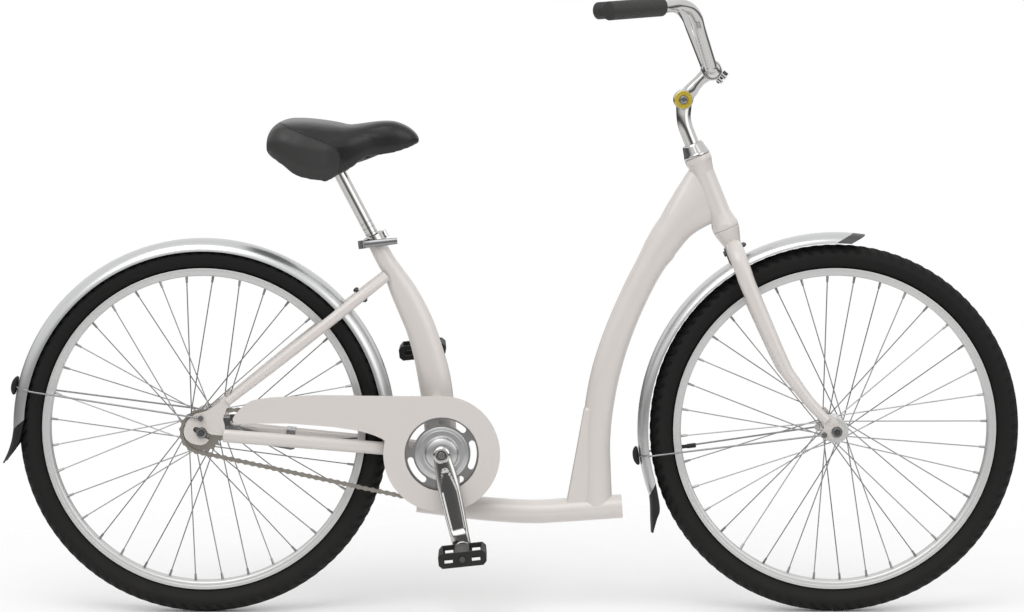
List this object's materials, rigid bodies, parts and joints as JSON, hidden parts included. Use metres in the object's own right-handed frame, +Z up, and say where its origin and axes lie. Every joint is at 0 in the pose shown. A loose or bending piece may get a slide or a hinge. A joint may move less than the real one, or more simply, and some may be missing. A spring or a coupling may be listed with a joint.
{
  "type": "bicycle",
  "caption": "Step-through bicycle with mudguards, chain guard, coaster rear hub, angle-adjustable stem, swept handlebar and a padded saddle.",
  "frame": {"origin": "on the ground, midway between the front tyre's front and the mud flap behind the rear wheel, on the bicycle's middle plane", "axes": "+X forward, +Y to the rider's left, +Z up; the drive side is -Y"},
  "size_m": [1.7964, 0.6238, 1.0856],
  "materials": {
    "black_plastic": "matt",
    "dark_steel": "dark, slightly oily",
    "grey_grip": "matt, soft",
    "pearl_paint": "glossy pearl white",
    "polished_metal": "polished",
    "saddle_skin": "matt black covering",
    "satin_aluminium": "satin",
    "silver_paint": "satin silver",
    "tyre_rubber": "matt black",
    "yellow_plastic": "glossy yellow"
  },
  "bodies": {
    "frame": {"main_frame": "pearl_paint", "rear_stays": "pearl_paint", "chain_guard": "pearl_paint", "guard_bracket": "dark_steel", "headset_bearing_upper": "dark_steel", "headset_bearing_lower": "dark_steel", "bottom_bracket_cartridge": "dark_steel", "rear_axle": "dark_steel", "rear_axle_nut_right": "polished_metal", "rear_axle_nut_left": "polished_metal", "brake_arm": "satin_aluminium", "brake_arm_clip": "satin_aluminium", "rear_fender": "silver_paint", "rear_fender_stay": "dark_steel", "rear_stay_cap": "black_plastic", "rear_mud_flap": "black_plastic", "seat_collar": "polished_metal"},
    "rear_wheel": {"rear_tyre": "tyre_rubber", "rear_rim": "satin_aluminium", "rear_inner_tube": "tyre_rubber", "rear_hub_and_spokes": "satin_aluminium"},
    "sprocket": {"rear_sprocket": "dark_steel"},
    "crank": {"bb_spindle": "dark_steel", "crank_right": "polished_metal", "crank_left": "polished_metal", "chainring": "dark_steel", "chain": "dark_steel", "pedal_axle_right": "dark_steel", "pedal_axle_left": "dark_steel"},
    "pedal_right": {"pedal_right": "black_plastic"},
    "pedal_left": {"pedal_left": "black_plastic"},
    "steering": {"fork": "pearl_paint", "headset_cone": "polished_metal", "stem_quill": "polished_metal", "front_axle": "dark_steel", "front_axle_nut_right": "polished_metal", "front_axle_nut_left": "polished_metal", "front_fender": "silver_paint", "front_fender_tip": "dark_steel", "front_fender_stay": "dark_steel", "front_stay_cap": "black_plastic", "front_mud_flap": "black_plastic"},
    "front_wheel": {"front_tyre": "tyre_rubber", "front_rim": "satin_aluminium", "front_inner_tube": "tyre_rubber", "front_hub_and_spokes": "satin_aluminium"},
    "stem": {"stem_arm": "polished_metal", "stem_pivot_bolt": "dark_steel", "stem_pivot_ring": "yellow_plastic", "bar_clamp_bolt": "dark_steel"},
    "bar": {"handlebar": "polished_metal", "grip_left": "grey_grip", "grip_right": "grey_grip"},
    "post": {"seat_post": "polished_metal"},
    "clamp": {"saddle_clamp": "dark_steel"},
    "saddle": {"saddle_rails": "dark_steel", "saddle_base": "black_plastic", "saddle_cover": "saddle_skin"},
    "lever": {"seat_lever": "black_plastic"}
  },
  "joints": [
    {"name": "steering", "type": "hinge", "parent": "frame", "child": "steering", "pos_m": [0.52959, 0, 0.30938], "axis": [-0.3762, 0, 0.9265], "range_deg": [-90, 90]},
    {"name": "front_wheel_spin", "type": "hinge", "parent": "steering", "child": "front_wheel", "pos_m": [0.57175, 0, 0.3265], "axis": [0, 1, 0], "continuous": true},
    {"name": "rear_wheel_spin", "type": "hinge", "parent": "frame", "child": "rear_wheel", "pos_m": [-0.54225, 0, 0.3265], "axis": [0, 1, 0], "continuous": true},
    {"name": "crank_spin", "type": "hinge", "parent": "frame", "child": "crank", "pos_m": [-0.12183, 0, 0.288], "axis": [0, 1, 0], "continuous": true, "deforming": ["chain"]},
    {"name": "rear_sprocket_spin", "type": "hinge", "parent": "frame", "child": "sprocket", "pos_m": [-0.54225, 0, 0.3265], "axis": [0, 1, 0], "continuous": true},
    {"name": "pedal_right_spin", "type": "hinge", "parent": "crank", "child": "pedal_right", "pos_m": [-0.08446, 0, 0.12216], "axis": [0, 1, 0], "continuous": true},
    {"name": "pedal_left_spin", "type": "hinge", "parent": "crank", "child": "pedal_left", "pos_m": [-0.15921, 0, 0.45384], "axis": [0, 1, 0], "continuous": true},
    {"name": "seat_height", "type": "slide", "parent": "frame", "child": "post", "axis": [-0.4618, 0, 0.887], "range_m": [-0.065, 0.055]},
    {"name": "saddle_tilt", "type": "hinge", "parent": "post", "child": "clamp", "pos_m": [-0.31222, 0, 0.80048], "axis": [0, 1, 0], "range_deg": [-15, 15]},
    {"name": "saddle_slide", "type": "slide", "parent": "clamp", "child": "saddle", "axis": [1, 0, 0], "range_m": [-0.015, 0.015]},
    {"name": "seat_lever", "type": "hinge", "parent": "frame", "child": "lever", "pos_m": [-0.26139, -0.02, 0.65411], "axis": [0.1115, 0, -0.9938], "range_deg": [0, 180]},
    {"name": "stem_tilt", "type": "hinge", "parent": "steering", "child": "stem", "pos_m": [0.30224, 0, 0.90782], "axis": [0, 1, 0], "range_deg": [-36, 24]},
    {"name": "bar_roll", "type": "hinge", "parent": "stem", "child": "bar", "pos_m": [0.35154, 0, 0.95945], "axis": [0, 1, 0], "range_deg": [-20, 20]}
  ],
  "couplings": [
    {"joint": "rear_sprocket_spin", "follows": "crank_spin", "ratio": 2.4444}
  ]
}
